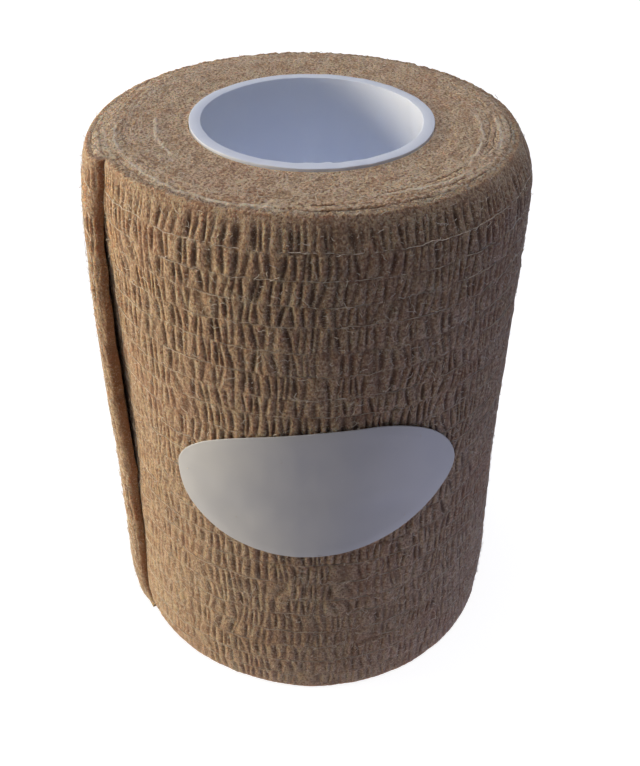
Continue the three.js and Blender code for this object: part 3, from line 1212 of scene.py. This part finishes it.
def fibre_group():
    """Short curved fibres strewn over a surface, each bent its own way."""
    group, tree = new_group("strewn_fibres")
    names = ("Density", "Length", "Radius", "Bend")
    keys = {name: add_input(group, name, "NodeSocketFloat") for name in names}
    keys["Seed"] = add_input(group, "Seed", "NodeSocketInt")
    source = tree.node("NodeGroupInput")
    given = {name: Socket(tree, source.outputs[name]) for name in keys}
    seed = given["Seed"]
    inputs = {"Mesh": Socket(tree, source.outputs[0]), "Density": given["Density"], "Seed": seed}
    strewn = tree.node("GeometryNodeDistributePointsOnFaces", {}, inputs)
    spin = tree.value("ShaderNodeCombineXYZ", {}, {"Z": tree.random(0.0, math.tau, seed + 1)})
    spin = tree.value("FunctionNodeEulerToRotation", {}, {"Euler": spin})
    inputs = {"Rotation": Socket(tree, strewn.outputs["Rotation"]), "Rotate By": spin}
    turn = tree.value("FunctionNodeRotateRotation", {"rotation_space": "LOCAL"}, inputs)
    end = tree.value("ShaderNodeCombineXYZ", {}, {"X": given["Length"]})
    line = tree.value("GeometryNodeCurvePrimitiveLine", {}, {"End": end})
    line = tree.value("GeometryNodeResampleCurve", {}, {"Curve": line, "Count": FIBRE_POINTS})
    inputs = {
        "Points": Socket(tree, strewn.outputs["Points"]),
        "Instance": line,
        "Rotation": turn,
        "Scale": tree.random(*FIBRE_SCALES, seed + 2),
    }
    placed = tree.value("GeometryNodeInstanceOnPoints", {}, inputs)
    strands = tree.value("GeometryNodeRealizeInstances", {}, {"Geometry": placed})
    place = tree.value("GeometryNodeInputPosition")
    inputs = {"Vector": place, "Scale": 1500.0, "Detail": 1.0}
    bend = tree.value("ShaderNodeTexNoise", {}, inputs, "Color")
    inputs = {0: bend, 1: (0.5, 0.5, 0.5)}
    bend = tree.value("ShaderNodeVectorMath", {"operation": "SUBTRACT"}, inputs)
    inputs = {0: bend, "Scale": given["Bend"]}
    bend = tree.value("ShaderNodeVectorMath", {"operation": "SCALE"}, inputs)
    bent = tree.value("GeometryNodeSetPosition", {}, {"Geometry": strands, "Offset": bend})
    close_group(tree, tree.tubes(bent, given["Radius"]), FIBRE_FINISH)
    return group, keys


def grown(name, source, group, keys, values):
    """The mesh that a Geometry Nodes group grows on a source, as an object of its own."""
    modifier = source.modifiers.new("grown", "NODES")
    modifier.node_group = group
    for key, value in values.items():
        modifier[keys[key]] = value
    evaluated = source.evaluated_get(bpy.context.evaluated_depsgraph_get())
    mesh = bpy.data.meshes.new_from_object(evaluated)
    mesh.name = name
    bpy.data.objects.remove(source)
    return add_object(name, mesh)


def thread_lines():
    """The elastic threads between the rows as one mesh of lines."""
    turned = np.arange(*THREAD_TURNED, turn_of(THREAD_STEP))
    along = arc_length(turned)
    count = len(turned)
    points = []
    edges = []
    for row in range(1, ROW_COUNT):
        rows_up = row + 0 * along
        height = THREAD_HEIGHTS[row] + thread_sway(along, rows_up)
        height = height + THREAD_WANDER * soft_noise(along / 0.7, rows_up, 91)
        relief = crepe(along, rows_up)[0] * crepe_fade(turned, rows_up, height)
        relief = np.convolve(relief, np.ones(THREAD_BRIDGE) / THREAD_BRIDGE, mode="same")
        proud = THREAD_PROUD + THREAD_PROUD_SPREAD * soft_noise(along / 2.6, rows_up, 92)
        swell = cloth_swell(along, rows_up, height)
        radius = outer_radius(turned, height) + relief + swell + proud
        first = count * len(points)
        points.append(on_roll(turned, radius, height))
        edges += [(first + step, first + step + 1) for step in range(count - 1)]
    mesh = bpy.data.meshes.new("thread_lines")
    mesh.from_pydata(np.concatenate(points), edges, [])
    return add_object("thread_lines", mesh)


def crest_skin():
    """A coarse skin at the height of the crests, on which the loose fibres lie."""
    turned = np.linspace(0, 360, SKIN_COLUMNS)[:, None]
    heights = np.linspace(*SKIN_HEIGHTS, SKIN_ROWS)[None, :]
    side = on_roll(turned, outer_radius(turned, heights), heights)
    inwards = np.linspace(*SKIN_INWARDS, SKIN_RINGS)[None, :]
    top_height = look_up(TOP_PROFILE, inwards) + SKIN_LIFT
    top = on_roll(turned, rim_radius(turned, ROWS_TOP) - inwards, top_height)
    side_faces = grid_faces(SKIN_COLUMNS, SKIN_ROWS)
    top_faces = grid_faces(SKIN_COLUMNS, SKIN_RINGS, first=SKIN_COLUMNS * SKIN_ROWS)[:, ::-1]
    faces = np.concatenate([side_faces, top_faces])
    points = np.concatenate([side.reshape(-1, 3), top.reshape(-1, 3)])
    return make_mesh("crest_skin", points, faces, FIBRE_FINISH)


def make_threads():
    group, keys = tube_group()
    threads = grown("elastic_threads", thread_lines(), group, keys, {"Radius": THREAD_RADIUS * MM})
    return finish_piece(threads, "crepe_cloth")


def make_fibres():
    group, keys = fibre_group()
    sizes = {
        "Density": FIBRE_DENSITY,
        "Length": FIBRE_LENGTH * MM,
        "Radius": FIBRE_RADIUS * MM,
        "Bend": FIBRE_BEND * MM,
        "Seed": FIBRE_SEED,
    }
    fibres = grown("surface_fibres", crest_skin(), group, keys, sizes)
    return finish_piece(fibres, "crepe_cloth")


# The room: floor, lights and camera

FOCAL_PIXELS = 947.05
FRAME_HEIGHT_PIXELS = 766
SENSOR = 36
CAMERA_X = -3.037
CAMERA_Y = -109.85
CAMERA_HEIGHT = 118.98
CAMERA_DOWN = 37.406
CAMERA_RIGHTWARDS = 2.318
CAMERA_ROLL = 0.799
NEAREST_SEEN = 0.005

# The sweep: its flat part, from nearly the middle on, then its curve up, just under the foot
FLOOR_COLUMNS = 96
FLOOR_RINGS = 24
FLOOR_MIDDLE = 0.01
FLOOR_REACH = 1500
CURVE_RADIUS = 500
CURVE_RINGS = 16
CURVE_ANGLES = (5, 90)
FLOOR_DROP = 0.02

# Lamps: name, azimuth, elevation, distance, width and height in metres, power, colour
LAMPS = (
    ("warm_side_light", 174, 6, 1.1, 0.7, 0.6, 17.2, (1.0, 0.91, 0.74)),
    ("cool_top_light", 180, 89, 1.2, 0.5, 0.5, 7.3, (0.82, 0.84, 0.95)),
    ("lilac_table_light", 340, -50, 0.25, 0.2, 0.2, 0.25, (0.58, 0.62, 1.0)),
    ("warm_table_light", 245, -50, 0.25, 0.2, 0.2, 0.17, (1.0, 0.93, 0.88)),
    ("bore_light", 0, -90, 0.034, 0.018, 0.018, 0.005, (0.85, 0.87, 1.0)),
)
ROOM_COLOUR = (0.64, 0.68, 1.0, 1)
ROOM_STRENGTH = 0.05


def direction(azimuth, elevation):
    around = math.radians(azimuth)
    above = math.radians(elevation)
    level = math.cos(above)
    return Vector((math.cos(around) * level, math.sin(around) * level, math.sin(above)))


def make_camera():
    """The camera at the photograph's angle, given from the roll's axis at floor level."""
    roll = math.radians(CAMERA_ROLL)
    forward = direction(90 - CAMERA_RIGHTWARDS, -CAMERA_DOWN)
    level = direction(-CAMERA_RIGHTWARDS, 0)
    upward = level.cross(forward)
    right = math.cos(roll) * level + math.sin(roll) * upward
    up = math.cos(roll) * upward - math.sin(roll) * level
    data = bpy.data.cameras.new("camera")
    data.sensor_width = SENSOR
    data.lens = FOCAL_PIXELS / FRAME_HEIGHT_PIXELS * SENSOR
    data.clip_start = NEAREST_SEEN
    camera = add_object("camera", data)
    place = Vector((AXIS_X + CAMERA_X, AXIS_Y + CAMERA_Y, CAMERA_HEIGHT)) * MM
    turn = Matrix((right, up, -forward)).transposed()
    camera.matrix_world = Matrix.Translation(place) @ turn.to_4x4()
    bpy.context.scene.camera = camera


def make_floor():
    """A pale studio sweep, level under the roll and curving up far behind it all round."""
    material, tree = new_material("floor_paper")
    cloud = tree.noise(tree.object_place(), 30.0)
    surface(
        tree,
        Base_Color=tree.colours(rgb(150, 150, 152), rgb(144, 144, 147), cloud),
        Roughness=0.9,
        Emission_Color=rgb(255, 255, 255),
        Emission_Strength=0.9,
    )
    turned = np.linspace(0, 360, FLOOR_COLUMNS, endpoint=False)[:, None]
    flat = np.linspace(FLOOR_MIDDLE, FLOOR_REACH, FLOOR_RINGS)
    curve = np.radians(np.linspace(*CURVE_ANGLES, CURVE_RINGS))
    radius = np.append(flat, FLOOR_REACH + CURVE_RADIUS * np.sin(curve))
    height = np.append(0 * flat, CURVE_RADIUS * (1 - np.cos(curve)))
    points = on_roll(turned, radius, height)
    faces = grid_faces(FLOOR_COLUMNS, len(radius), wrap_columns=True)[:, ::-1]
    floor = make_mesh("studio_floor", points, faces, material)
    floor.visible_diffuse = False
    floor.visible_shadow = False
    floor.location.z = -FLOOR_DROP * MM


def add_light(name, azimuth, elevation, distance, width, height, power, colour):
    """A soft lamp that faces the middle of the roll."""
    data = bpy.data.lights.new(name, "AREA")
    data.shape = "RECTANGLE"
    data.size = width
    data.size_y = height
    data.energy = power
    data.color = colour
    lamp = add_object(name, data)
    towards = direction(azimuth, elevation)
    lamp.location = Vector((0, 0, BANDAGE_WIDTH / 2 * MM)) + towards * distance
    lamp.rotation_euler = (-towards).to_track_quat("-Z", "Y").to_euler()
    lamp.visible_camera = False


def make_lights():
    """Low warm light from the left, cool light from above, and what the table throws back."""
    for lamp in LAMPS:
        add_light(*lamp)
    world = bpy.data.worlds.new("room")
    world.use_nodes = True
    background = world.node_tree.nodes["Background"]
    background.inputs["Color"].default_value = ROOM_COLOUR
    background.inputs["Strength"].default_value = ROOM_STRENGTH
    bpy.context.scene.world = world
    bpy.context.scene.view_settings.view_transform = "Standard"


make_camera()
make_floor()
make_lights()
make_core()
make_side("wound_side_left", -LOOSE_SPAN, FRONT_START)
make_side("wound_side_front", FRONT_START, BACK_START)
make_side("wound_side_back", BACK_START, REAR_LEFT_START)
make_side("wound_side_rear_left", REAR_LEFT_START, ROOT_TURNED)
end_face("wound_top", TOP_COLUMNS, TOP_RINGS, True)
end_face("wound_foot", FOOT_COLUMNS, FOOT_RINGS, False)
loose = make_loose_end("loose_end_cloth")
make_label()
make_threads()
make_fibres()
